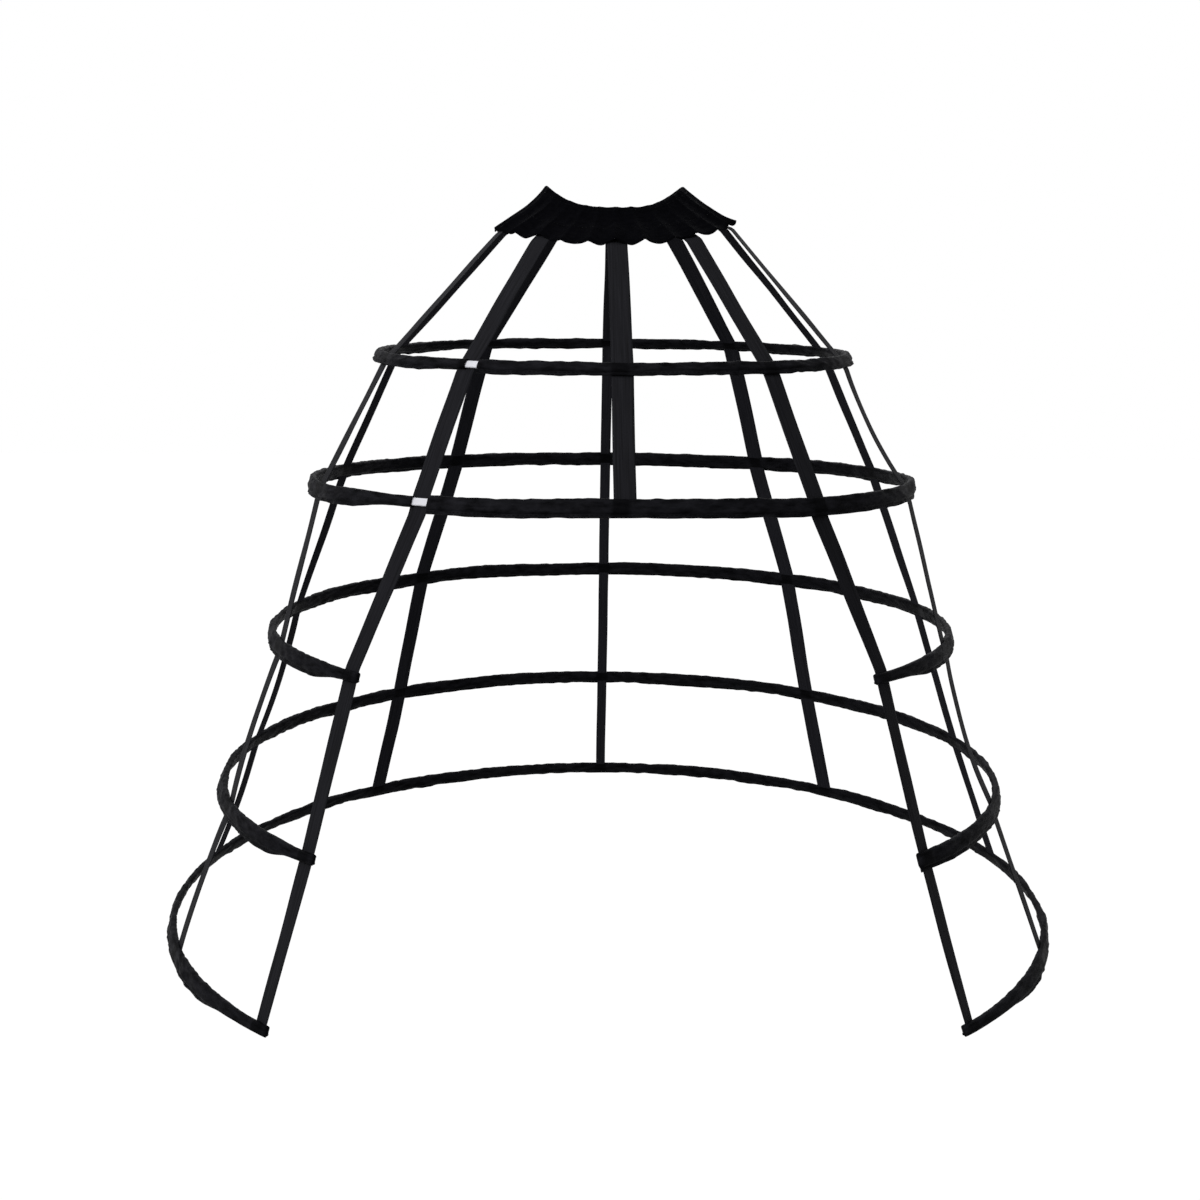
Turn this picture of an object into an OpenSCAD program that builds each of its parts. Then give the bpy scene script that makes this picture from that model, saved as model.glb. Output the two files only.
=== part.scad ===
// Front-opening birdcage crinoline: a gathered elastic waistband, ten ribbon tapes
// and five boned hoops. The upper two hoops are closed rings, the lower three are open
// in front. Azimuth 0 is the centre front (-Y), positive towards the wearer's left (+X).
// The origin is the middle of the waist at the level of the waistband's front hem, +Z up.

/* [Waistband] */
// Radius of the waistband's hem
waist_hem_radius = 98; // [90:1:110]
// Radius of the gathered waist opening
waist_top_radius = 56; // [46:1:66]
// Rise of the band from its hem to its top edge at the centre front
waist_rise = 24; // [20:1:34]
// Forward tilt of the waistband, higher at the back
waist_tilt = 3.2; // [0:0.1:6]
// How much higher the hem sits at the sides
hem_side_lift = 9; // [0:1:18]
// How much higher the top edge peaks at the sides
top_side_lift = 17; // [0:1:26]
// Radius where the upright band turns into the flared frill
flare_radius = 74; // [70:1:84]
// Share of the band's height at which it turns
flare_share = 0.25; // [0.2:0.01:0.35]
// Share of the band's height that is frill, below the elastic
frill_share = 0.45; // [0.35:0.01:0.55]
// Number of gathers round the band
gathers = 26; // [16:1:32]
// Depth of the gathers at the top edge
gather_top = 1.4; // [0.5:0.1:2]
// Depth of the gathers at the hem
gather_hem = 5.5; // [1:0.1:7]
// Thickness of the waist elastic
elastic_thick = 1; // [0.6:0.1:2]

/* [Hoops] */
// Radius of the first hoop
hoop_1_radius = 194; // [180:1:206]
// Radius of the second hoop
hoop_2_radius = 250; // [236:1:260]
// Radius of the third hoop
hoop_3_radius = 286; // [276:1:298]
// Radius of the fourth hoop
hoop_4_radius = 330; // [316:1:344]
// Radius of the hem hoop
hoop_5_radius = 375; // [360:1:400]
// Drop of the first hoop below the waist
hoop_1_drop = 88; // [76:1:100]
// Drop of the second hoop
hoop_2_drop = 193; // [180:1:205]
// Drop of the third hoop
hoop_3_drop = 316; // [300:1:330]
// Drop of the fourth hoop
hoop_4_drop = 443; // [425:1:460]
// Drop of the hem hoop
hoop_5_drop = 559; // [540:1:590]
// Forward tilt of the first hoop
hoop_1_tilt = 1.7; // [-3:0.1:3]
// Forward tilt of the second hoop
hoop_2_tilt = -1.1; // [-3:0.1:3]

/* [Hoop casings] */
// Thickness of the casing and waistband cloth
cloth = 0.6; // [0.4:0.05:0.9]
// Room in the casings beyond the width of the boning
casing_ease = 5.4; // [3:0.1:6]
// The same room in the narrower casing of hoop 1
hoop_1_ease = 2.4; // [2:0.1:6]
// Stitched seam allowance below the casing
seam_allowance = 3; // [1.5:0.1:4]
// Length of casing left open at the joint of hoop 1
gap_1_length = 11; // [8:0.5:16]
// Length of casing left open at the joint of hoop 2
gap_2_length = 14; // [8:0.5:16]
// Distance from the front-left tape to the joint of hoop 1
gap_1_shift = 5.5; // [0:0.5:9]
// Distance from the front-left tape to the joint of hoop 2
gap_2_shift = 2; // [0:0.5:9]
// How far an open hoop's casing laps past the edge of the front tape
end_lap = 1; // [0.8:0.1:8]

/* [Boning] */
// Width of the coated spring-steel boning
boning_width = 5; // [4:0.1:6.5]
// Thickness of the boning
boning_thick = 1; // [0.8:0.05:1.3]
// Wall of the boning's tips and joiners
tip_wall = 0.35; // [0.3:0.05:0.5]
// Length of a tip on an open hoop
tip_length = 11; // [8:0.5:14]
// How far a joiner reaches into the casing on each side of the gap
joiner_tuck = 4; // [2:0.5:8]
// Space between the butted ends of the boning in a joiner
butt_gap = 1; // [0.5:0.1:2]

/* [Tapes] */
// Width of a ribbon tape
tape_width = 16; // [12:0.5:18]
// Width of the narrower centre-back tape
back_tape_width = 10; // [8:0.5:16]
// Thickness of a tape
tape_thick = 0.5; // [0.3:0.05:0.7]
// Azimuths of the front, side-front, side-back and back tapes at the waist
waist_angles = [38, 76, 108, 146]; // [20:1:160]
// Azimuths of the same tapes on the closed hoops
closed_angles = [35, 68, 108, 144]; // [20:1:160]
// Azimuths of the same tapes on the open hoops
open_angles = [43, 68, 102, 140]; // [20:1:160]

/* [Clearances] */
// Lie of the tape and boning in the casing
lay = 0.4; // [0.35:0.05:0.6]
// Fit of a tip or joiner on the boning
tip_fit = 0.1; // [0.05:0.05:0.2]
// Room round a tape in the casing's slots
slot_fit = 0.25; // [0.2:0.05:0.4]
// Lie of the elastic and the tape ends in the waistband
band_lay = 0.3; // [0.2:0.05:0.5]

/* [Hidden] */
NODES = [
    "waistband_casing", "waistband_elastic",
    "hoop_1_casing", "hoop_2_casing", "hoop_3_casing", "hoop_4_casing", "hoop_5_casing",
    "hoop_1_boning", "hoop_2_boning", "hoop_3_boning", "hoop_4_boning", "hoop_5_boning",
    "hoop_1_joiner", "hoop_2_joiner", "hoop_3_tips", "hoop_4_tips", "hoop_5_tips",
    "tape_centre_front", "tape_front_right", "tape_side_front_right", "tape_side_back_right",
    "tape_back_right", "tape_centre_back", "tape_back_left", "tape_side_back_left",
    "tape_side_front_left", "tape_front_left"];
$fn = 96;

cloth_black = "#17171a";
tape_black = "#2a2a2e";
coating_white = "#e4e4ea";
elastic_black = "#202024";

radii = [hoop_1_radius, hoop_2_radius, hoop_3_radius, hoop_4_radius, hoop_5_radius];
drops = [hoop_1_drop, hoop_2_drop, hoop_3_drop, hoop_4_drop, hoop_5_drop];
tilts = [hoop_1_tilt, hoop_2_tilt, 0, 0, 0];
hoops = len(radii);
closed_hoops = 2;
gap_lengths = [gap_1_length, gap_2_length];
gap_shifts = [gap_1_shift, gap_2_shift];

// Slope of the cage from the vertical at each hoop, from the levels above and below it
function level_radius(i) = i < 0 ? waist_hem_radius : radii[i];
function level_drop(i) = i < 0 ? 0 : drops[i];
function below(i) = min(i + 1, hoops - 1);
function slope(i) = atan2(level_radius(below(i)) - level_radius(i - 1), level_drop(below(i)) - level_drop(i - 1));

// Stack through a casing, from the inner wall: tape, then boning with its tip
tip_thick = boning_thick + 2 * (tip_fit + tip_wall);
tip_high = boning_width + 2 * (tip_fit + tip_wall);
cavity_thick = tape_thick + tip_thick + 3 * lay;
function cavity_high(i) = boning_width + (i == 0 ? hoop_1_ease : casing_ease);
tape_out = -cavity_thick / 2 + lay + tape_thick / 2;
boning_out = cavity_thick / 2 - lay - tip_thick / 2;
seam_out = tape_out + tape_thick / 2 + slot_fit + lay;
function casing_top(i) = cavity_high(i) / 2 + cloth;
function casing_bottom(i) = -casing_top(i) - seam_allowance;
slot_overrun = 1;
tape_end_rise = 1;
function tape_end(i) = -cavity_high(i) / 2 + tape_end_rise;
end_wall = 2 * cloth;
tip_end_wall = 1;

// Tapes by step round the cage: 0 centre front, 5 centre back, 6 to 9 mirror 4 to 1
tape_steps = 10;
centre_front = 0;
centre_back = 5;
front_left = 9;
function mirrored(list, k) =
    k == centre_front ? 0 : k == centre_back ? 180 : k < centre_back ? list[k - 1] : -list[tape_steps - 1 - k];
function waist_azimuth(k) = mirrored(waist_angles, k);
function hoop_azimuth(i, k) = mirrored(i < closed_hoops ? closed_angles : open_angles, k);
function wide(k) = k == centre_back ? back_tape_width : tape_width;
function last_hoop(k) = k == centre_front ? closed_hoops - 1 : hoops - 1;

// Unit directions at an azimuth, and an arc length as an angle on a hoop
function outward(a) = [sin(a), -cos(a), 0];
function along(a) = [cos(a), sin(a), 0];
function upward() = [0, 0, 1];
function turn(i, length) = length / radii[i] * 180 / PI;

// Point beside a hoop: out from the cage's slope and up along it, on the tilted hoop
function tilted(i, p) =
    let (c = cos(tilts[i]), s = sin(tilts[i])) [p[0], p[1] * c - p[2] * s, p[1] * s + p[2] * c];
function hoop_normal(i, a) = tilted(i, outward(a) * cos(slope(i)) + upward() * sin(slope(i)));
function hoop_rise(i, a) = tilted(i, upward() * cos(slope(i)) - outward(a) * sin(slope(i)));
function hoop_point(i, a, out, up) =
    tilted(i, outward(a) * radii[i]) - upward() * drops[i] + hoop_normal(i, a) * out + hoop_rise(i, a) * up;

// Seam surface of the waistband: a curved flare from hem to top, raised at the sides
// and leaning forward
function side(a) = pow(abs(sin(a)), 3);
function hem_height(a) = hem_side_lift * pow(sin(a), 2);
function top_height(a) = waist_rise + top_side_lift * side(a);
function flare_height(a) = hem_height(a) + (top_height(a) - hem_height(a)) * flare_share;
function bezier(p, q, r, t) = p * pow(1 - t, 2) + q * 2 * t * (1 - t) + r * t * t;
function bezier_slope(p, q, r, t) = (q - p) * 2 * (1 - t) + (r - q) * 2 * t;
function leaning(a, radius, height) =
    [radius, height + tan(waist_tilt) * (waist_hem_radius - radius * cos(a))];
function band_profile(a) = [
    leaning(a, waist_hem_radius, hem_height(a)),
    leaning(a, flare_radius, flare_height(a)),
    leaning(a, waist_top_radius, top_height(a))];
function band_section(a, t) = let (p = band_profile(a)) bezier(p[0], p[1], p[2], t);
function band_tangent(a, t) =
    let (p = band_profile(a), d = bezier_slope(p[0], p[1], p[2], t)) d / norm(d);
function in_space(a, p) = outward(a) * p[0] + upward() * p[1];
function band_normal(a, t) = let (d = band_tangent(a, t)) in_space(a, [d[1], -d[0]]);
function band_point(a, t, out, up = 0) =
    in_space(a, band_section(a, t)) + band_normal(a, t) * out + in_space(a, band_tangent(a, t)) * up;

// Gathers, uneven in spacing and depth, deepest at the hem: round lobes that hang between
// sharp nips. Each wave round the band has a size, a count and a phase.
spacing_waves = [[35, 3, 0], [25, 5, 70]];
depth_wave = [0.2, 5, 40];
function wave(w, a) = w[0] * sin(w[1] * a + w[2]);
function gather_phase(a) = gathers * a + wave(spacing_waves[0], a) + wave(spacing_waves[1], a);
function gather_depth(a, t) =
    (gather_hem + (gather_top - gather_hem) * t) * (1 - depth_wave[0] + wave(depth_wave, a));
function outer_gather(a, t) = gather_depth(a, t) * (1 - abs(sin(gather_phase(a) / 2)));
function lining_gather(a) = gather_top * abs(cos(gather_phase(a) / 2));

// Heights up the band where it is sampled, as shares of its profile
tunnel = elastic_thick + 2 * band_lay;
fold_rise = 1.2;
elastic_margin = 0.02;
wall_stations = [0, frill_share / 2, frill_share, (1 + frill_share) / 2, 1];
lining_stations = [frill_share, (1 + frill_share) / 2, 1];
elastic_stations = [frill_share + 3 * elastic_margin, (1 + frill_share) / 2, 1 - elastic_margin];
samples_per_gather = 6;
tape_splits = 3;
elastic_rings = 72;

function reversed(list) = [for (j = [len(list) - 1 : -1 : 0]) list[j]];
function subdivided(rings, splits) =
    concat(
        [for (i = [0 : len(rings) - 2], s = [0 : splits - 1])
            rings[i] * (1 - s / splits) + rings[i + 1] * s / splits],
        [rings[len(rings) - 1]]);

// Closed solid through a list of rings, each with the same number of points. A ring goes out
// along one face and back along the other, so both faces are split on the same diagonals.
module loft(rings, closed) {
    n = len(rings);
    m = len(rings[0]);
    points = [for (ring = rings) each ring];
    sides = [
        for (i = [0 : closed ? n - 1 : n - 2], j = [0 : m - 1])
            let (
                a = i * m + j,
                b = i * m + (j + 1) % m,
                c = ((i + 1) % n) * m + (j + 1) % m,
                d = ((i + 1) % n) * m + j
            )
            each j < m / 2 ? [[a, b, c], [a, c, d]] : [[a, b, d], [b, c, d]]];
    caps = closed ? [] : [[for (j = [m - 1 : -1 : 0]) j], [for (j = [0 : m - 1]) (n - 1) * m + j]];
    polyhedron(points, concat(sides, caps));
}

// Arc of a hoop, from one azimuth to another, of a profile given beside the hoop
module hoop_arc(i, from, to) {
    on_hoop(i)
        rotate([0, 0, from - 90])
            rotate_extrude(angle = to - from)
                translate([radii[i], 0])
                    rotate(slope(i))
                        children();
}

// From the level of the waist to a tilted hoop
module on_hoop(i) {
    translate([0, 0, -drops[i]])
        rotate([tilts[i], 0, 0])
            children();
}

// Flat oval with rounded ends, twelve-sided so that long arcs of it stay true
module oval(thick, high) {
    square([thick, high - thick], center = true);
    for (s = [-1, 1])
        translate([0, s * (high - thick) / 2])
            circle(d = thick, $fn = 12);
}

// Folded casing with its stitched lower edge, without the hollow
module casing_outline(i) {
    oval(cavity_thick + 2 * cloth, 2 * casing_top(i));
    translate([seam_out, casing_bottom(i)])
        square([2 * cloth, seam_allowance + cloth]);
}

// Slot in a casing's edges for one tape, blind below where the tape ends
module tape_slot(i, k) {
    low = i == last_hoop(k) ? tape_end(i) - slot_fit : casing_bottom(i) - slot_overrun;
    high = casing_top(i) + slot_overrun;
    on_hoop(i)
        rotate([0, 0, hoop_azimuth(i, k)])
            translate([0, -radii[i], 0])
                rotate([-slope(i), 0, 0])
                    translate([0, -tape_out, (low + high) / 2])
                        cube([wide(k) + 2 * slot_fit, tape_thick + 2 * slot_fit, high - low], center = true);
}

// Ends of each hoop, as azimuths: either side of a closed hoop's gap, or an open hoop's front
function gap_middle(i) = hoop_azimuth(i, front_left) + turn(i, gap_shifts[i]);
function casing_start(i) =
    i < closed_hoops
        ? gap_middle(i) + turn(i, gap_lengths[i] / 2)
        : hoop_azimuth(i, 1) - turn(i, tape_width / 2 + end_lap);
function casing_finish(i) =
    i < closed_hoops ? gap_middle(i) - turn(i, gap_lengths[i] / 2) + 360 : 360 - casing_start(i);
function tip_start(i) = casing_start(i) + turn(i, end_wall + band_lay);
function boning_start(i) =
    i < closed_hoops ? gap_middle(i) + turn(i, butt_gap / 2) : tip_start(i) + turn(i, tip_end_wall);
function boning_finish(i) =
    i < closed_hoops ? gap_middle(i) - turn(i, butt_gap / 2) + 360 : 360 - boning_start(i);

module hoop_casing(i) {
    inset = turn(i, i < closed_hoops ? -slot_overrun : end_wall);
    color(cloth_black)
        difference() {
            hoop_arc(i, casing_start(i), casing_finish(i))
                casing_outline(i);
            hoop_arc(i, casing_start(i) + inset, casing_finish(i) - inset)
                oval(cavity_thick, cavity_high(i));
            for (k = [0 : tape_steps - 1])
                if (i <= last_hoop(k))
                    tape_slot(i, k);
        }
}

module hoop_boning(i) {
    color(coating_white)
        hoop_arc(i, boning_start(i), boning_finish(i))
            translate([boning_out, 0])
                oval(boning_thick, boning_width);
}

// Sleeve over the butted ends of a closed hoop's boning
module hoop_joiner(i) {
    half = turn(i, gap_lengths[i] / 2 + joiner_tuck);
    color(coating_white)
        hoop_arc(i, gap_middle(i) - half, gap_middle(i) + half)
            translate([boning_out, 0])
                difference() {
                    oval(tip_thick, tip_high);
                    oval(boning_thick + 2 * tip_fit, boning_width + 2 * tip_fit);
                }
}

// Cap over one end of an open hoop's boning, blind at the front
module boning_tip(i) {
    pocket = tip_start(i) + turn(i, tip_end_wall - tip_fit);
    finish = tip_start(i) + turn(i, tip_length);
    difference() {
        hoop_arc(i, tip_start(i), finish)
            translate([boning_out, 0])
                oval(tip_thick, tip_high);
        hoop_arc(i, pocket, finish + turn(i, slot_overrun))
            translate([boning_out, 0])
                oval(boning_thick + 2 * tip_fit, boning_width + 2 * tip_fit);
    }
}

module hoop_tips(i) {
    color(coating_white) {
        boning_tip(i);
        mirror([1, 0, 0])
            boning_tip(i);
    }
}

// Ribbon through its stations: under the frill, then through each hoop casing
function station(p, across, normal, width) =
    let (w = across * width / 2, n = normal * tape_thick / 2) [p - w - n, p + w - n, p + w + n, p - w + n];
function band_across(a, t) =
    let (d = in_space(a + 1, band_section(a + 1, t)) - in_space(a - 1, band_section(a - 1, t))) d / norm(d);
function band_station(k, t) =
    let (
        a = waist_azimuth(k),
        across = band_across(a, t),
        normal = cross(across, in_space(a, band_tangent(a, t)))
    )
    station(band_point(a, t, 0) - normal * tape_lie(k), across, normal, wide(k));
function hoop_station(i, k, up) =
    let (a = hoop_azimuth(i, k))
    station(hoop_point(i, a, tape_out, up), tilted(i, along(a)), hoop_normal(i, a), wide(k));
// A flat ribbon bows away from the round band by its sagitta
function tape_lie(k) = band_lay + tape_thick / 2 + pow(wide(k) / 2, 2) / (2 * flare_radius);

module tape(k) {
    last = last_hoop(k);
    under_frill = [for (t = [frill_share, frill_share / 2, 0]) band_station(k, t)];
    through = [
        for (i = [0 : last])
            each [
                hoop_station(i, k, casing_top(i)),
                hoop_station(i, k, i == last ? tape_end(i) : casing_bottom(i))]];
    color(tape_black)
        loft(subdivided(concat(under_frill, through), tape_splits), false);
}

// Cloth folded over the elastic at the top and left as a frill below it
function waistband_ring(a) =
    concat(
        [for (t = wall_stations) band_point(a, t, outer_gather(a, t) + cloth)],
        [band_point(a, 1, -tunnel / 2, fold_rise + cloth)],
        [for (t = reversed(lining_stations)) band_point(a, t, -tunnel - lining_gather(a) - cloth)],
        [for (t = lining_stations) band_point(a, t, -tunnel - lining_gather(a))],
        [band_point(a, 1, -tunnel / 2, fold_rise)],
        [for (t = reversed(wall_stations)) band_point(a, t, outer_gather(a, t))]);

module waistband_casing() {
    rings = gathers * samples_per_gather;
    color(cloth_black)
        loft([for (j = [0 : rings - 1]) reversed(waistband_ring(360 * j / rings))], true);
}

function elastic_ring(a) =
    concat(
        [for (t = elastic_stations) band_point(a, t, -band_lay)],
        [for (t = reversed(elastic_stations)) band_point(a, t, -band_lay - elastic_thick)]);

module waistband_elastic() {
    color(elastic_black)
        loft([for (j = [0 : elastic_rings - 1]) reversed(elastic_ring(360 * j / elastic_rings))], true);
}

waistband_casing();
waistband_elastic();
for (i = [0 : hoops - 1]) {
    hoop_casing(i);
    hoop_boning(i);
    if (i < closed_hoops)
        hoop_joiner(i);
    if (i >= closed_hoops)
        hoop_tips(i);
}
first_tape = search(["tape_centre_front"], NODES)[0];
for (k = [0 : tape_steps - 1])
    tape(k);
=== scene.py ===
"""Front-opening birdcage crinoline: gathered waistband, ribbon tapes and boned hoops, over the frame."""
from functools import cache
from math import atan2, cos, degrees, pi, radians, sin, sqrt, tan

import bmesh
import bpy
from mathutils import Matrix, Vector, noise


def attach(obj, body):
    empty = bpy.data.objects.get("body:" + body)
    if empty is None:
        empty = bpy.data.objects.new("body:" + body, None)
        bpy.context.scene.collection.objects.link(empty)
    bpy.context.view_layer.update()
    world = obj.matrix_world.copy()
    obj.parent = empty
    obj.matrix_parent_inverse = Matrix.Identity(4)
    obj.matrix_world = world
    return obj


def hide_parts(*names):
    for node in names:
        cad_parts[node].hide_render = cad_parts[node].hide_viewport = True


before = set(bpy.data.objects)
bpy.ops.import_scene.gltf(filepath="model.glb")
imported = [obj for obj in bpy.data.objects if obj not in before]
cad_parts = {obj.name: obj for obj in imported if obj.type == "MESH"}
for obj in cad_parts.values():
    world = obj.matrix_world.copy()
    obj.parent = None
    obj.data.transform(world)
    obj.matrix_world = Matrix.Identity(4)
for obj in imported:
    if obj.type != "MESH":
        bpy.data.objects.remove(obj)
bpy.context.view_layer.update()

# Sizes of the cage, in millimetres and degrees, as in the frame
MM = 0.001
HOOP_RADIUS = (194, 250, 286, 330, 375)
HOOP_DROP = (88, 193, 316, 443, 559)
HOOP_TILT = (1.7, -1.1, 0, 0, 0)
HOOPS = range(len(HOOP_RADIUS))
CLOSED_HOOPS = 2
WAIST_ANGLES = (38, 76, 108, 146)
CLOSED_ANGLES = (35, 68, 108, 144)
OPEN_ANGLES = (43, 68, 102, 140)
TAPE_WIDTH = 16
BACK_TAPE_WIDTH = 10
TAPE_THICK = 0.5
TAPE_OUT = -1.15
CLOTH = 0.55

# Casing: a strip folded over the boning and stitched along its lower edge, narrower on hoop 1
TUBE_HALF_HIGH = (4.0, 5.5, 5.5, 5.5, 5.5)
TUBE_HALF_THICK = 2.1
SEAM_ALLOWANCE = 2.8
SEAM_OUT = 0.35
SEAM_LAYER = 0.32
CASING_STEP = 1.8
SPIN_STEP = 5
GAP_LENGTH = (11, 14)
GAP_SHIFT = (5.5, 2)
END_LAP = 1.6
# Half width in millimetres of the painted shade on a casing at each tape crossing
PAINTED_SHADE_HALF = 6
END_PINCH = 0.9
# Where the casing is drawn in round the boning, with its seam folded under: hoop, end, length
DRAWN_IN = ((0, 1, 45), (1, 1, 75), (2, 0, 80), (2, 1, 60), (3, 1, 60), (4, 0, 120), (4, 1, 100))
# Where it is pulled up or down: hoop, azimuth, half width in degrees, millimetres
PULLED = ((0, 15, 45, 0.7), (0, -55, 25, -0.7), (1, 0, 34, 1.9), (1, -62, 26, -1.6))
DRAWN_HALF_HIGH = 3.8
DRAWN_HALF_THICK = 2.7
DRAWN_CREASE = 0.25
TUCK_BEHIND = 0.4
# How its cloth rumples between the tapes
TWIST = 20
CREASE_LIFT = 0.3
CREASE_DEPTH = 0.75
SEAM_RIPPLE = 1.3
CASING_SEED = 31.7

# Waistband: flared from the gathered top to the frill's hem, raised at the sides and leaning forward
HEM_RADIUS = 98
TOP_RADIUS = 56
FLARE_RADIUS = 74
WAIST_RISE = 24
WAIST_TILT = 3.2
HEM_SIDE_LIFT = 9
TOP_SIDE_LIFT = 17
FLARE_SHARE = 0.25
# Its frill hangs, is caught up at the tapes, and stands stiffer on the right
HEM_HANG = 4.5
STIFF_LIFT = 6.5
STIFF_SWELL = 3
CAUGHT_UP = 4
FRILL_SHARE = 0.45
GATHERS = 26
GATHER_TOP = 0.9
GATHER_HEM = 4.8
GATHER_LINING = 1.5
BAND_LAY = 0.3
TUNNEL = 1.6
FOLD_RISE = 1.2
LINING_LAP = 0.05
LOWER_SEAM = FRILL_SHARE - 0.02
UPPER_SEAM = 0.93
OUTER_ROWS = 16
LINING_ROWS = 8
BAND_CUTS = 10

# Tapes pass through the casings and end inside the last one
CASING_TOP = (4.3, 5.8, 5.8, 5.8, 5.8)
CASING_BOTTOM = (-7.3, -8.8, -8.8, -8.8, -8.8)
TAPE_END = -3.2
TAPE_STEP = 3
RIBBON_THICK = 0.4
# How unevenly a long span hangs
LONG_SPAN = 40
TAPE_BOW = 0.8
TAPE_SWAY = 0.6
TAPE_TURN = 5
TAPE_CURL = 0.35
TAPE_SEED = 17.3
# Some hang in or out between two hoops: tape and span from the top
SLACK = {(2, 1): -4, (2, 3): -4, (8, 3): 2.5, (7, 3): -2.5, (8, 4): 2, (7, 4): -2}
# The centre front tape runs a little to the right: millimetres at each hoop
CENTRE_DRIFT = (2, 3)
# The front tapes turn aside towards the hem: degrees at each hoop
FRONT_TURN = {1: (0, 0, 6, 12, 17), 9: (0, 0, -2, -6, -12)}

# Stitches
STITCH_PITCH = 3.2
STITCH_LENGTH = 2.4
STITCH_WIDTH = 0.45
STITCH_DROP = 1.0
FLOOR_DROP = 720

TAPES = (
    "tape_centre_front",
    "tape_front_right",
    "tape_side_front_right",
    "tape_side_back_right",
    "tape_back_right",
    "tape_centre_back",
    "tape_back_left",
    "tape_side_back_left",
    "tape_side_front_left",
    "tape_front_left",
)
CENTRE_FRONT, CENTRE_BACK, FRONT_LEFT = 0, 5, 9


# Places on the cage, by azimuth in degrees from the centre front
def mirrored(angles, k):
    if k in (CENTRE_FRONT, CENTRE_BACK):
        return 180.0 if k else 0.0
    return angles[k - 1] if k < CENTRE_BACK else -angles[len(TAPES) - 1 - k]


def hoop_azimuth(i, k):
    return mirrored(CLOSED_ANGLES if i < CLOSED_HOOPS else OPEN_ANGLES, k)


def outward(a):
    return Vector((sin(radians(a)), -cos(radians(a)), 0))


def along(a):
    return Vector((cos(radians(a)), sin(radians(a)), 0))


UP = Vector((0, 0, 1))


@cache
def slope(i):
    below = min(i + 1, len(HOOP_RADIUS) - 1)
    radius, drop = (HOOP_RADIUS[i - 1], HOOP_DROP[i - 1]) if i else (HEM_RADIUS, 0)
    return atan2(HOOP_RADIUS[below] - radius, HOOP_DROP[below] - drop)


@cache
def tilt(i):
    return Matrix.Rotation(radians(HOOP_TILT[i]), 3, "X")


def hoop_normal(i, a):
    return tilt(i) @ (outward(a) * cos(slope(i)) + UP * sin(slope(i)))


def hoop_point(i, a, out, up):
    rise = UP * cos(slope(i)) - outward(a) * sin(slope(i))
    normal = outward(a) * cos(slope(i)) + UP * sin(slope(i))
    return tilt(i) @ (outward(a) * HOOP_RADIUS[i] + normal * out + rise * up) - UP * HOOP_DROP[i]


def turn(i, length):
    return degrees(length / HOOP_RADIUS[i])


def round_azimuth(co, start=-180):
    """Azimuth of a point, from start onwards."""
    a = degrees(atan2(co.x, -co.y))
    return a + 360 * ((start - 0.01 - a) // 360 + 1)


def angle_between(a, b):
    """Degrees between two azimuths, the short way round."""
    return abs((a - b + 180) % 360 - 180)


def stiffness(a):
    """How stiffly the frill stands: 1 at the right, falling to 0 in front and behind, 0 on the left."""
    return max(sin(radians(a)), 0) ** 2


def band_section(a, t):
    """Radius and height of the band's seam surface, and its direction upwards."""
    s = abs(sin(radians(a)))
    hem = HEM_SIDE_LIFT * s**2
    top = WAIST_RISE + TOP_SIDE_LIFT * s**3
    heights = ((HEM_RADIUS, hem), (FLARE_RADIUS, hem + (top - hem) * FLARE_SHARE), (TOP_RADIUS, top))
    lean = tan(radians(WAIST_TILT))
    p, q, r = (Vector((w, h + lean * (HEM_RADIUS - w * cos(radians(a))))) for w, h in heights)
    place = p * (1 - t) ** 2 + q * 2 * t * (1 - t) + r * t * t
    loose = max(1 - t / FRILL_SHARE, 0) ** 2
    place.y -= loose * (HEM_HANG - STIFF_LIFT * stiffness(a))
    return place, ((q - p) * (1 - t) + (r - q) * t).normalized()


def in_space(a, p):
    return outward(a) * p.x + UP * p.y


def band_point(a, t, out, up=0):
    place, tangent = band_section(a, t)
    return in_space(a, place + Vector((tangent.y, -tangent.x)) * out + tangent * up)


def smooth(edge0, edge1, x):
    t = min(max((x - edge0) / (edge1 - edge0), 0), 1)
    return t * t * (3 - 2 * t)


def mix(a, b, t):
    return a + (b - a) * t


# Materials
def linear(hex_colour):
    channels = [int(hex_colour[n : n + 2], 16) / 255 for n in (1, 3, 5)]
    return [c / 12.92 if c <= 0.04045 else ((c + 0.055) / 1.055) ** 2.4 for c in channels] + [1]


def add(tree, kind, inputs=(), **settings):
    """Adds a node, sets its own settings, then each input to a value or a link from an output."""
    made = tree.nodes.new(kind)
    for name, value in settings.items():
        setattr(made, name, value)
    for name, value in dict(inputs).items():
        if isinstance(value, bpy.types.NodeSocket):
            tree.links.new(value, made.inputs[name])
        else:
            made.inputs[name].default_value = value
    return made


def new_material(name):
    material = bpy.data.materials.new(name)
    material.use_nodes = True
    tree = material.node_tree
    return material, tree, tree.nodes["Principled BSDF"]


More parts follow.
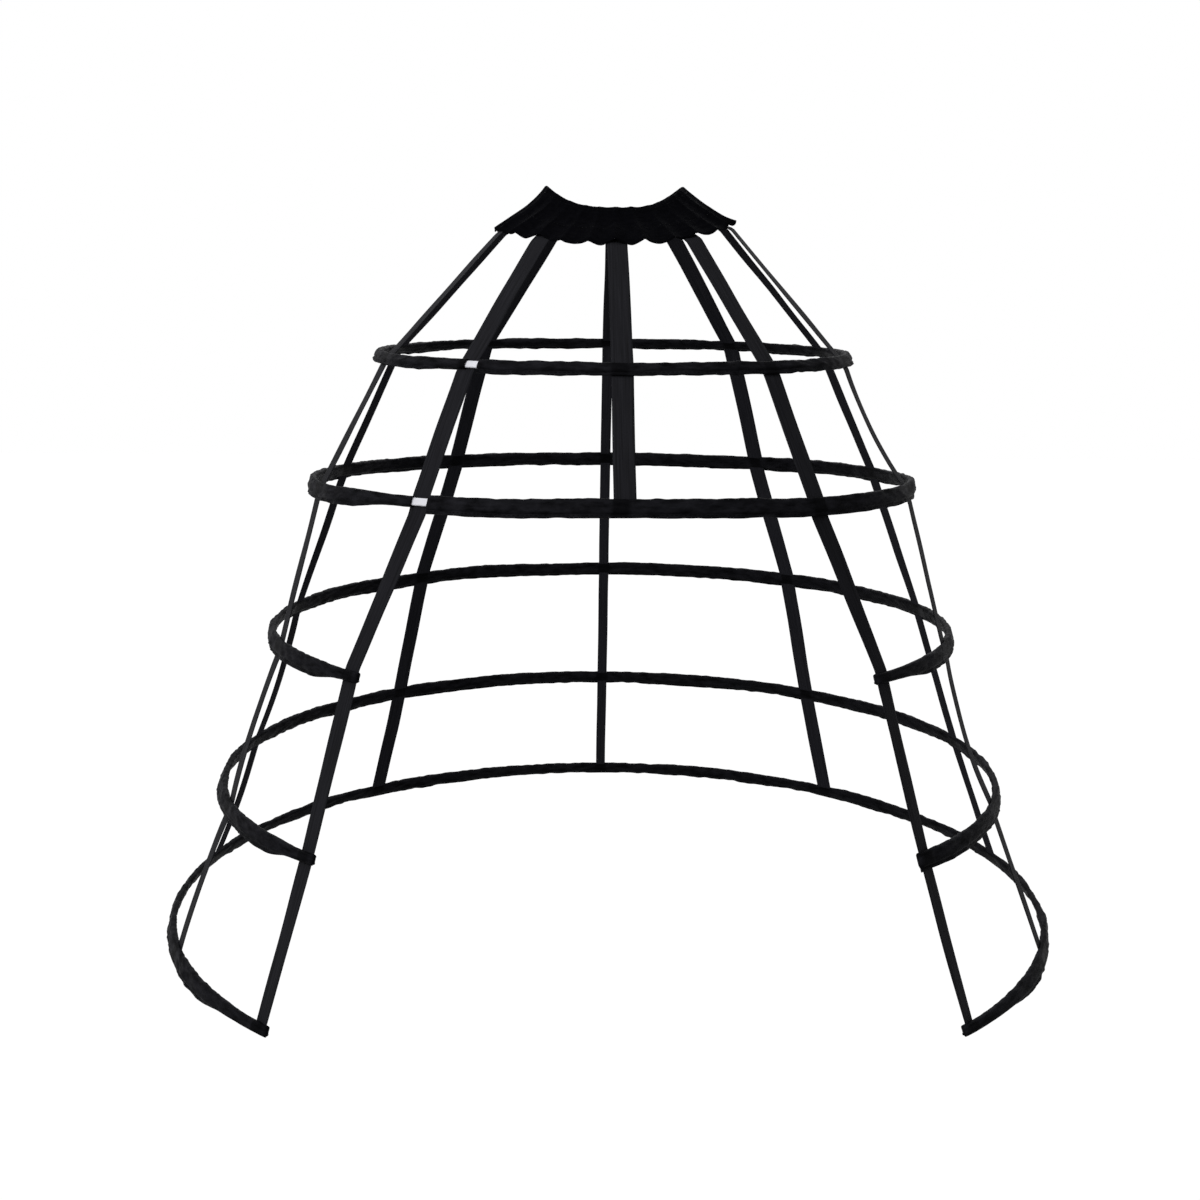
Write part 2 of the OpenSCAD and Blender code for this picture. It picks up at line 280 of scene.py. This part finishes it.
def woven(name, dark, light, rough, thread, streak, bump_mm, gleam):
    """Plain or satin weave: colour drifts along the cloth, threads lift it, and painted shade darkens the
    casing where the tapes cross it.
    """
    material, tree, surface = new_material(name)
    length = add(tree, "ShaderNodeAttribute", attribute_name="length_mm").outputs["Fac"]
    width = add(tree, "ShaderNodeAttribute", attribute_name="width_mm").outputs["Fac"]
    seam_pucker_and_painted_shade = add(tree, "ShaderNodeAttribute", attribute_name="seam_pucker_and_painted_shade").outputs["Fac"]
    place = add(tree, "ShaderNodeCombineXYZ", {"X": length, "Y": width}).outputs[0]
    stretched = add(tree, "ShaderNodeMapping", {"Vector": place, "Scale": (1 / streak[0], 1 / streak[1], 1)})
    drift = add(
        tree,
        "ShaderNodeTexNoise",
        {"Vector": stretched.outputs[0], "Scale": 1, "Detail": 4, "Roughness": 0.6},
    )
    # Ramp from the dark to the light colour; on the satin ribbon its light streaks are painted sheen
    colour = add(tree, "ShaderNodeValToRGB", {"Fac": drift.outputs["Fac"]})
    colour.color_ramp.elements[0].position = 0.3
    colour.color_ramp.elements[0].color = linear(dark)
    colour.color_ramp.elements[1].position = 0.72
    colour.color_ramp.elements[1].color = linear(light)
    # Painted shade: mixed towards near-black where a tape crosses the casing
    painted_crossing_shade = add(
        tree, "ShaderNodeMix", {0: seam_pucker_and_painted_shade, 6: colour.outputs["Color"], 7: linear("#050506")}, data_type="RGBA"
    )
    threads = add(
        tree,
        "ShaderNodeTexWave",
        {"Vector": place, "Scale": 2 * pi / (20 * thread), "Distortion": 0.4, "Detail": 1},
        bands_direction="DIAGONAL",
    )
    gloss = add(
        tree,
        "ShaderNodeMapRange",
        {
            "Value": drift.outputs["Fac"],
            "From Min": 0.3,
            "From Max": 0.7,
            "To Min": rough + 0.08,
            "To Max": rough - 0.08,
        },
    )
    bump = add(
        tree,
        "ShaderNodeBump",
        {"Height": threads.outputs["Fac"], "Strength": 0.5, "Distance": bump_mm * MM},
    )
    tree.links.new(painted_crossing_shade.outputs[2], surface.inputs["Base Color"])
    tree.links.new(gloss.outputs[0], surface.inputs["Roughness"])
    tree.links.new(bump.outputs["Normal"], surface.inputs["Normal"])
    surface.inputs["Specular IOR Level"].default_value = gleam
    return material


# Polyester satin ribbon, woven: a soft grey gleam in lengthwise streaks, painted into its colour as painted
# sheen. Its threads are drawn 0.9 mm wide to show.
RIBBON = woven("black_satin_ribbon", "#18181a", "#27272b", 0.55, 0.9, (60, 1.2), 0.05, 0.01)
# Dull reverse of the same ribbon, seen inside the cage; its colour is painted lighter than the face, as
# painted light on inner faces that the lamps reach less
RIBBON_REVERSE = woven("black_ribbon_reverse", "#202024", "#2e2e33", 0.8, 0.9, (60, 1.5), 0.04, 0.008)
# Black polyester lining cloth, folded and rumpled: catches light along its creases
CASING = woven("black_casing_cloth", "#060607", "#212125", 0.5, 0.8, (14, 5), 0.06, 0.008)
# Matte black cotton poplin, gathered: almost no gleam
BAND = woven("black_waistband_poplin", "#050507", "#09090c", 0.8, 0.8, (9, 4), 0.08, 0.004)


# Black polyester sewing thread, twisted: small dull gleams
def thread_material():
    material, tree, surface = new_material("black_polyester_thread")
    place = add(tree, "ShaderNodeTexCoord").outputs["Object"]
    drift = add(tree, "ShaderNodeTexNoise", {"Vector": place, "Scale": 1 / (4 * MM), "Detail": 2})
    gloss = add(tree, "ShaderNodeMapRange", {"Value": drift.outputs["Fac"], "To Min": 0.4, "To Max": 0.7})
    tree.links.new(gloss.outputs[0], surface.inputs["Roughness"])
    surface.inputs["Base Color"].default_value = linear("#070709")
    surface.inputs["Specular IOR Level"].default_value = 0.02
    return material


# White polymer coat over spring steel, dip-coated: bright, satin-smooth and a little uneven
def coating_material():
    material, tree, surface = new_material("white_coated_spring_steel")
    place = add(tree, "ShaderNodeTexCoord").outputs["Object"]
    drift = add(tree, "ShaderNodeTexNoise", {"Vector": place, "Scale": 1 / (5 * MM), "Detail": 3})
    colour = add(tree, "ShaderNodeValToRGB", {"Fac": drift.outputs["Fac"]})
    colour.color_ramp.elements[0].color = linear("#d6d6de")
    colour.color_ramp.elements[1].color = linear("#f0f0f6")
    bump = add(
        tree,
        "ShaderNodeBump",
        {"Height": drift.outputs["Fac"], "Strength": 0.3, "Distance": 0.1 * MM},
    )
    tree.links.new(colour.outputs["Color"], surface.inputs["Base Color"])
    tree.links.new(bump.outputs["Normal"], surface.inputs["Normal"])
    surface.inputs["Roughness"].default_value = 0.42
    return material


# Black braided elastic: ribs along its length, dull
def elastic_material():
    material, tree, surface = new_material("black_braided_elastic")
    place = add(tree, "ShaderNodeTexCoord").outputs["Object"]
    ribs = add(
        tree,
        "ShaderNodeTexWave",
        {"Vector": place, "Scale": 2 * pi / (20 * 1.5 * MM), "Distortion": 0.5},
        bands_direction="Z",
    )
    bump = add(
        tree,
        "ShaderNodeBump",
        {"Height": ribs.outputs["Fac"], "Strength": 0.6, "Distance": 0.2 * MM},
    )
    tree.links.new(bump.outputs["Normal"], surface.inputs["Normal"])
    surface.inputs["Base Color"].default_value = linear("#0c0c0e")
    surface.inputs["Roughness"].default_value = 0.8
    return material


THREAD = thread_material()
COATING = coating_material()
ELASTIC = elastic_material()


# Making pieces
def cloth_layers(bm):
    """Places on each vertex for the weave: length and width in millimetres, and how much painted shade
    darkens it where a tape crosses.
    """
    return [bm.verts.layers.float.new(name) for name in ("length_mm", "width_mm", "seam_pucker_and_painted_shade")]


def finished(bm, name, materials, slot, *nodes, thick=0.0):
    """Turns a bmesh worked in millimetres into a piece that rides on the cage."""
    bmesh.ops.scale(bm, verts=bm.verts, vec=(MM, MM, MM))
    mesh = bpy.data.meshes.new(name)
    bm.to_mesh(mesh)
    bm.free()
    for material in materials:
        mesh.materials.append(material)
    mesh.shade_smooth()
    piece = bpy.data.objects.new(name, mesh)
    bpy.context.scene.collection.objects.link(piece)
    if thick:
        wall = piece.modifiers.new("cloth_thickness", "SOLIDIFY")
        wall.thickness = thick * MM
        wall.offset = 0
        wall.material_offset = len(materials) - 1
    if nodes:
        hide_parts(*nodes)
    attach(piece, "root")
    return piece


def spun(bm, profile, angle, coarse, fine, **merge):
    """Turns a profile round the upright axis in a few coarse steps, then cuts each step finely."""
    bmesh.ops.spin(
        bm, geom=profile + bm.edges[:], cent=(0, 0, 0), axis=UP, angle=angle, steps=coarse, **merge
    )
    step = radians(SPIN_STEP) / 2
    rings = []
    for edge in bm.edges:
        a, b = (vert.co for vert in edge.verts)
        level = abs(a.z - b.z) < 1e-4
        if level and Vector(a.xy).angle(Vector(b.xy)) > step:
            rings.append(edge)
    bmesh.ops.subdivide_edges(bm, edges=rings, cuts=fine - 1)


def stitch_rows(radius, start, stop, rows):
    """Rows of stitches round a level ring, each row at its own distances out and up from the ring."""
    bm = bmesh.new()
    length = radians(stop - start) * radius
    groups = round(sqrt(length / STITCH_PITCH))
    each = round(length / STITCH_PITCH / groups)
    pitch = radians(stop - start) / (groups * each)
    stitch = Matrix.Diagonal((STITCH_LENGTH, STITCH_WIDTH, STITCH_WIDTH, 1))
    for out, up in rows:
        made = bmesh.ops.create_uvsphere(bm, u_segments=6, v_segments=4, radius=0.5, matrix=stitch)
        bmesh.ops.translate(bm, verts=made["verts"], vec=(0, -radius - out, up))
    bmesh.ops.rotate(bm, verts=bm.verts, matrix=Matrix.Rotation(radians(start) + pitch / 2, 3, "Z"))
    for turned, steps in ((pitch, each - 1), (pitch * each, groups - 1)):
        bmesh.ops.spin(
            bm,
            geom=bm.verts[:] + bm.edges[:] + bm.faces[:],
            cent=(0, 0, 0),
            axis=UP,
            angle=turned * steps,
            steps=steps,
            use_duplicate=True,
        )
    return bm


# Hoop casings
def tube_bend(middle, angles):
    """Points (out, up) of a round stretch of the tube, about a middle at that height."""
    turns = [radians(angle) for angle in angles]
    return [(TUBE_HALF_THICK * cos(r), TUBE_HALF_THICK * sin(r) + middle) for r in turns]


def casing_profile(i):
    """Folded strip as (out, up): inner seam layer, inner wall, top fold, outer wall, outer seam layer."""
    high = TUBE_HALF_HIGH[i]
    straight = high - TUBE_HALF_THICK
    seam = [(-high - SEAM_ALLOWANCE * share) for share in (1, 0.5, 0.1)]
    points = [(SEAM_OUT - SEAM_LAYER, up) for up in seam]
    points += tube_bend(-straight, range(252, 170, -18))
    points += [(-TUBE_HALF_THICK, straight * share) for share in (-0.5, 0, 0.5)]
    points += tube_bend(straight, range(180, -10, -18))
    points += [(TUBE_HALF_THICK, straight * share) for share in (0.5, 0, -0.5)]
    points += tube_bend(-straight, range(0, -80, -18))
    return points + [(SEAM_OUT + SEAM_LAYER, up) for up in reversed(seam)]


@cache
def casing_ends(i):
    """Azimuths where a hoop's casing starts and stops."""
    if i < CLOSED_HOOPS:
        middle = hoop_azimuth(i, FRONT_LEFT) + turn(i, GAP_SHIFT[i])
        half = turn(i, GAP_LENGTH[i] / 2)
        return middle + half, middle - half + 360
    start = hoop_azimuth(i, 1) - turn(i, TAPE_WIDTH / 2 + END_LAP)
    return start, 360 - start


@cache
def crossings(i):
    """Azimuths of the tapes on a hoop."""
    return [hoop_azimuth(i, k) for k in range(len(TAPES)) if i < CLOSED_HOOPS or k != CENTRE_FRONT]


def distance_round(i, a, b):
    """Millimetres round a hoop between two azimuths."""
    return radians(angle_between(a, b)) * HOOP_RADIUS[i]


@cache
def casing_lie(i, a):
    """How a casing lies: free of the tapes, drawn in, puffed, closed at its end, twisted and shifted up."""
    s = radians(a) * HOOP_RADIUS[i]
    seed = CASING_SEED * (i + 1)
    near = min(distance_round(i, a, c) for c in crossings(i))
    free = smooth(TAPE_WIDTH / 2 - 1, TAPE_WIDTH / 2 + 16, near)
    start, stop = casing_ends(i)
    ends = [radians(swept) * HOOP_RADIUS[i] for swept in (a - start, stop - a)]
    drawn = 0
    for hoop, end, length in DRAWN_IN:
        if hoop == i:
            drawn = max(drawn, 1 - smooth(length * 0.2, length, ends[end]))
    puff = 0.85 + free * (0.2 + 0.35 * noise.noise((s / 34, seed, 0)))
    puff = mix(max(puff, 1), puff, smooth(12, 20, min(ends)))
    closed = 1 - smooth(0, END_PINCH, min(ends)) if i >= CLOSED_HOOPS else 0
    twist = free * (1 - drawn) * radians(TWIST) * noise.noise((s / 75, seed, 5))
    sway = 0.3 * (TUBE_HALF_HIGH[i] - 1)
    shift = (1 - drawn) * (0.4 + 0.6 * free) * sway * noise.noise((s / 90, seed, 9))
    for hoop, middle, half, pull in PULLED:
        if hoop == i:
            shift += (1 - drawn) * pull * (1 - smooth(0, half, angle_between(a, middle)))
    return free, drawn, puff, closed, twist, shift


def casing_place(i, a, out, up):
    """Where a point of the folded strip lies, rumpled round the hoop and held flat at the tapes."""
    s = radians(a) * HOOP_RADIUS[i]
    seed = CASING_SEED * (i + 1)
    free, drawn, puff, closed, twist, shift = casing_lie(i, round(a, 3))
    high = TUBE_HALF_HIGH[i]
    below = smooth(-high + 1, -high - SEAM_ALLOWANCE, up)
    crease = noise.noise((s / 9 + up * 0.28, up / 7, seed + out * 0.05)) * (1 - 0.5 * below)
    crease += 0.6 * noise.noise((s / 4.2 - up * 0.5, up / 5, seed + 3))
    ripple = below * noise.noise((s / 7.5, seed, 14)) * SEAM_RIPPLE
    side = 1 if out > SEAM_OUT else -1
    wide = out * puff + side * (1 - below) * free * (CREASE_LIFT + CREASE_DEPTH * crease) + ripple * free
    tall = up + (1 - below) * 0.3 * crease + below * 0.6 * noise.noise((s / 16, seed, 21))
    if drawn:
        folded = max(-high - up, 0) / SEAM_ALLOWANCE
        rounded = out * DRAWN_HALF_THICK / TUBE_HALF_THICK
        rolled = mix(rounded, -DRAWN_HALF_THICK - TUCK_BEHIND, smooth(0, 0.5, folded))
        tucked = max(up, -high) * DRAWN_HALF_HIGH / high + folded * 2
        wide = mix(wide, rolled + side * DRAWN_CREASE * crease, drawn)
        tall = mix(tall, tucked + 0.2 * crease, drawn)
    wide = mix(wide, SEAM_OUT + side * CLOTH / 4, closed)
    turned_out = wide * cos(twist) - tall * sin(twist)
    turned_up = wide * sin(twist) + tall * cos(twist)
    return hoop_point(i, a, turned_out, turned_up + shift)


def make_casing(i):
    start, stop = casing_ends(i)
    bm = bmesh.new()
    length_mm, width_mm, seam_pucker_and_painted_shade = cloth_layers(bm)
    out_mm, up_mm = bm.verts.layers.float.new("out_mm"), bm.verts.layers.float.new("up_mm")
    profile = []
    for out, up in casing_profile(i):
        profile.append(bm.verts.new(outward(start) * (HOOP_RADIUS[i] + out) + UP * up))
        profile[-1][out_mm], profile[-1][up_mm] = out, up
    travel = 0.0
    for pair in zip(profile, profile[1:]):
        travel += bm.edges.new(pair).calc_length()
        pair[1][width_mm] = travel
    coarse = round((stop - start) / SPIN_STEP)
    fine = round(radians(SPIN_STEP) * HOOP_RADIUS[i] / CASING_STEP)
    spun(bm, profile, radians(stop - start), coarse, fine)
    for vert in bm.verts:
        a = round_azimuth(vert.co, start)
        vert[length_mm] = radians(a) * HOOP_RADIUS[i]
        near = min(distance_round(i, a, c) for c in crossings(i))
        # Painted shade on the casing, strongest over each tape crossing
        vert[seam_pucker_and_painted_shade] = 0.7 * (1 - smooth(PAINTED_SHADE_HALF - 1, PAINTED_SHADE_HALF + 1, near))
        vert.co = casing_place(i, a, vert[out_mm], vert[up_mm])
    bmesh.ops.recalc_face_normals(bm, faces=bm.faces)
    name = f"hoop_{i + 1}_casing"
    piece = finished(bm, name + "_cloth", [CASING], "casing_cloth", name, thick=CLOTH)


def make_casing_stitches(i):
    """Lockstitch along both faces of the seam allowance."""
    start, stop = casing_ends(i)
    up = -TUBE_HALF_HIGH[i] - STITCH_DROP
    rows = [(SEAM_OUT + side * (SEAM_LAYER + CLOTH / 2), up) for side in (-1, 1)]
    bm = stitch_rows(HOOP_RADIUS[i], start, stop, rows)
    for vert in bm.verts:
        out = Vector(vert.co.xy).length - HOOP_RADIUS[i]
        vert.co = casing_place(i, round_azimuth(vert.co, start), out, vert.co.z)
    finished(bm, f"hoop_{i + 1}_casing_stitches", [THREAD], "casing_cloth")


# Ribbon tapes
def last_hoop(k):
    return CLOSED_HOOPS - 1 if k == CENTRE_FRONT else len(HOOP_RADIUS) - 1


def tape_stations(k):
    """Middle, direction across, outer normal and turn of a tape, under the frill and at casing edges."""
    stations = []
    wide = BACK_TAPE_WIDTH if k == CENTRE_BACK else TAPE_WIDTH
    a = mirrored(WAIST_ANGLES, k)
    lie = BAND_LAY + TAPE_THICK / 2 + (wide / 2) ** 2 / (2 * FLARE_RADIUS)
    for t in (FRILL_SHARE, FRILL_SHARE / 2, 0):
        sides = [in_space(a + step, band_section(a + step, t)[0]) for step in (1, -1)]
        across = (sides[0] - sides[1]).normalized()
        normal = across.cross(in_space(a, band_section(a, t)[1]))
        stations.append((band_point(a, t, 0) - normal * lie, across, normal, 0.0))
    turns = FRONT_TURN.get(k, [0] * len(HOOP_RADIUS))
    for i in range(last_hoop(k) + 1):
        a = hoop_azimuth(i, k)
        if k == CENTRE_FRONT:
            a += turn(i, CENTRE_DRIFT[i])
        for up in (CASING_TOP[i], TAPE_END if i == last_hoop(k) else CASING_BOTTOM[i]):
            place = hoop_point(i, a, TAPE_OUT, up)
            stations.append((place, tilt(i) @ along(a), hoop_normal(i, a), radians(turns[i])))
    return stations, wide


def make_tape(k):
    stations, wide = tape_stations(k)
    reach = [0.0]
    for here, after in zip(stations, stations[1:]):
        reach.append(reach[-1] + (after[0] - here[0]).length)
    bm = bmesh.new()
    length_mm, width_mm = cloth_layers(bm)[:2]
    bmesh.ops.create_grid(bm, x_segments=8, y_segments=round(reach[-1] / TAPE_STEP), size=1)
    seed = TAPE_SEED * (k + 1)
    for vert in bm.verts:
        u, s = vert.co.x, (vert.co.y + 1) / 2 * reach[-1]
        n = max(j for j in range(len(reach) - 1) if reach[j] <= s)
        span = reach[n + 1] - reach[n]
        t = (s - reach[n]) / span
        middle, across, normal, turned = (mix(stations[n][j], stations[n + 1][j], t) for j in range(4))
        loose = 4 * t * (1 - t) if span > LONG_SPAN else 0
        bow = loose * (SLACK.get((k, n // 2 - 1), 0) + TAPE_BOW * noise.noise((s / 60, seed, 0)))
        sway = loose * TAPE_SWAY * noise.noise((s / 90, seed, 4))
        turned += loose * radians(TAPE_TURN) * noise.noise((s / 80, seed, 8))
        curl = loose * TAPE_CURL * (u * u - 0.4) * noise.noise((s / 45, seed, 12))
        leaning = across * cos(turned) - normal * sin(turned)
        vert.co = middle + leaning * (u * wide / 2) + across * sway + normal * (bow + curl)
        vert[length_mm], vert[width_mm] = s, u * wide / 2
    bmesh.ops.recalc_face_normals(bm, faces=bm.faces)
    bm.faces.ensure_lookup_table()
    middle_face = bm.faces[len(bm.faces) // 2]
    if middle_face.normal.dot(middle_face.calc_center_median() * Vector((1, 1, 0))) < 0:
        bmesh.ops.reverse_faces(bm, faces=bm.faces)
    name = TAPES[k]
    piece = finished(bm, name + "_ribbon", [RIBBON, RIBBON_REVERSE], "ribbon", name, thick=RIBBON_THICK)


# Waistband
def gather(a):
    """Share of a gather's depth at an azimuth: round lobes between sharp nips, some of them flatter."""
    phase = GATHERS * a + 35 * sin(radians(3 * a)) + 25 * sin(radians(5 * a + 70))
    uneven = 0.75 + 0.25 * sin(radians(5 * a + 40))
    return uneven * (1 - abs(sin(radians(phase / 2))))


def band_place(a, t, out, up, outer):
    """Where a point of the folded band lies: gathered, puckered along its seams and a little crumpled."""
    ring = along(a)
    # Weight near the band's seams; here it shapes only the puckers, not any shade
    seam_pucker_and_painted_shade = 1 - smooth(0.02, 0.2, min(abs(t - FRILL_SHARE), abs(t - UPPER_SEAM)))
    pucker = abs(noise.noise(ring * 26 + UP * t)) * seam_pucker_and_painted_shade
    crumple = noise.noise(ring * 9 + UP * (3 * t)) * 0.7 + noise.noise(ring * 19 + UP * (6 * t)) * 0.4
    frill = 1 - smooth(0, 0.35, t)
    if outer:
        depth = mix(GATHER_TOP, GATHER_HEM, (1 - t) ** 1.2)
        out = out + depth * gather(a) + 0.7 * pucker + (0.3 + 0.3 * frill) * (crumple + 0.6)
        out += STIFF_SWELL * stiffness(a) * sin(pi * t)
        near = min(angle_between(a, mirrored(WAIST_ANGLES, k)) for k in range(len(TAPES)))
        caught = 1 - smooth(TAPE_WIDTH / 2 - 2, TAPE_WIDTH / 2 + 4, radians(near) * HEM_RADIUS)
        up += frill * (2.2 * noise.noise(ring * 7 + UP * 4) + CAUGHT_UP * caught)
    else:
        out = out - GATHER_LINING * gather(a) - 0.6 * pucker - 0.3 * (crumple + 0.6)
    return band_point(a, t, out, up)


def make_waistband():
    bm = bmesh.new()
    length_mm, width_mm = cloth_layers(bm)[:2]
    layers = [bm.verts.layers.float.new(name) for name in ("share", "out", "up", "outer")]
    rows = [(n / OUTER_ROWS, CLOTH / 2, 0, 1) for n in range(OUTER_ROWS + 1)]
    for angle in (45, 90, 135):
        rows.append((1, TUNNEL / 2 * (cos(radians(angle)) - 1), FOLD_RISE * sin(radians(angle)), 1))
    lining = [1 - n / LINING_ROWS * (1 - FRILL_SHARE) for n in range(LINING_ROWS + 1)]
    rows += [(t, -TUNNEL - CLOTH / 2, 0, 0) for t in lining]
    rows.append((FRILL_SHARE - LINING_LAP, -CLOTH, 0, 0))
    profile, travel = [], 0.0
    for row in rows:
        profile.append(bm.verts.new(band_point(0, *row[:3])))
        for layer, value in zip(layers, row):
            profile[-1][layer] = value
    for pair in zip(profile, profile[1:]):
        travel += bm.edges.new(pair).calc_length()
        pair[1][width_mm] = travel
    spun(bm, profile, 2 * pi, 360 // SPIN_STEP, BAND_CUTS, use_merge=True)
    for vert in bm.verts:
        a = round_azimuth(vert.co)
        vert[length_mm] = radians(a) * HEM_RADIUS
        vert.co = band_place(a, *[vert[layer] for layer in layers])
    bmesh.ops.recalc_face_normals(bm, faces=bm.faces)
    name = "waistband_casing"
    piece = finished(bm, name + "_cloth", [BAND], "waistband_cloth", name, thick=CLOTH)


def make_waistband_stitches(name, t):
    radius = band_section(0, t)[0].x
    bm = stitch_rows(radius, 0, 360, [(CLOTH, 0)])
    for vert in bm.verts:
        out = Vector(vert.co.xy).length - radius
        vert.co = band_place(round_azimuth(vert.co), t, out, vert.co.z, 1)
    finished(bm, name, [THREAD], "waistband_cloth")


for hoop in HOOPS:
    make_casing(hoop)
    make_casing_stitches(hoop)
for tape in range(len(TAPES)):
    make_tape(tape)
make_waistband()
make_waistband_stitches("waistband_lower_stitches", LOWER_SEAM)
make_waistband_stitches("waistband_upper_stitches", UPPER_SEAM)

# Boning, joiners, tips and elastic keep their solids
for name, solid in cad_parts.items():
    if name.endswith(("_boning", "_joiner", "_tips")):
        solid.data.materials.clear()
        solid.data.materials.append(COATING)
    if name == "waistband_elastic":
        solid.data.materials.clear()
        solid.data.materials.append(ELASTIC)


# Stage: a white floor below the hanging cage and white all round
def seen_directly(tree):
    """1 for what the camera, a gloss or a clear surface sees, 0 for light that falls on the cage."""
    path = add(tree, "ShaderNodeLightPath").outputs
    seen = path["Is Camera Ray"]
    for ray in ("Is Glossy Ray", "Is Transmission Ray"):
        seen = add(tree, "ShaderNodeMath", {0: seen, 1: path[ray]}, operation="MAXIMUM").outputs[0]
    return seen


def make_floor():
    material, tree, surface = new_material("white_paper_floor")
    surface.inputs["Base Color"].default_value = linear("#a8a8a8")
    surface.inputs["Roughness"].default_value = 0.9
    glow = add(tree, "ShaderNodeEmission", {"Color": (1, 1, 1, 1), "Strength": 1.05})
    share = add(tree, "ShaderNodeMath", {0: seen_directly(tree), 1: 0.97}, operation="MULTIPLY")
    mixed = {0: share.outputs[0], 1: surface.outputs[0], 2: glow.outputs[0]}
    shown = add(tree, "ShaderNodeMixShader", mixed)
    tree.links.new(shown.outputs[0], tree.nodes["Material Output"].inputs["Surface"])
    bm = bmesh.new()
    bmesh.ops.create_grid(bm, x_segments=1, y_segments=1, size=6)
    bmesh.ops.translate(bm, verts=bm.verts, vec=(0, 0, FLOOR_DROP * -MM))
    mesh = bpy.data.meshes.new("floor")
    bm.to_mesh(mesh)
    bm.free()
    mesh.materials.append(material)
    floor = bpy.data.objects.new("floor", mesh)
    bpy.context.scene.collection.objects.link(floor)


def make_world():
    world = bpy.data.worlds.new("white_studio")
    world.use_nodes = True
    tree = world.node_tree
    dim = tree.nodes["Background"]
    dim.inputs["Color"].default_value = (1, 1, 1, 1)
    dim.inputs["Strength"].default_value = 0.2
    bright = add(tree, "ShaderNodeBackground", {"Color": (1, 1, 1, 1), "Strength": 1})
    mixed = {0: seen_directly(tree), 1: dim.outputs[0], 2: bright.outputs[0]}
    shown = add(tree, "ShaderNodeMixShader", mixed)
    tree.links.new(shown.outputs[0], tree.nodes["World Output"].inputs["Surface"])
    bpy.context.scene.world = world


def add_lamp(name, place, size, power):
    """Softbox that faces the middle of the cage."""
    data = bpy.data.lights.new(name, "AREA")
    data.shape = "DISK"
    data.size = size
    data.energy = power
    lamp = bpy.data.objects.new(name, data)
    lamp.location = place
    lamp.rotation_euler = (CAGE_MIDDLE - Vector(place)).to_track_quat("-Z", "Y").to_euler()
    bpy.context.scene.collection.objects.link(lamp)


make_floor()
make_world()
CAGE_MIDDLE = Vector((0, 0, -0.25))
add_lamp("left_softbox", (-1.5, -1.9, 1.2), 1.5, 38)
add_lamp("top_softbox", (-0.7, -0.9, 2.2), 1.8, 16)
add_lamp("back_softbox", (0.3, 2.4, 1.5), 1.5, 20)

# Camera at the photograph's angle: the cage is turned a little and the picture leans a little
camera = bpy.data.objects.new("camera", bpy.data.cameras.new("camera"))
camera.data.lens = 46.3
camera.data.sensor_width = 36
stand = Matrix.Translation((-9.15 * MM, -1307.5 * MM, -55.87 * MM))
aim = Matrix.Rotation(radians(79.52), 4, "X") @ Matrix.Rotation(radians(0.452), 4, "Z")
pose = Matrix.Rotation(radians(-1.107), 4, "Z") @ stand @ aim
camera.location = pose.to_translation()
camera.rotation_euler = pose.to_euler()
bpy.context.scene.collection.objects.link(camera)
bpy.context.scene.camera = camera
bpy.context.scene.view_settings.view_transform = "Standard"
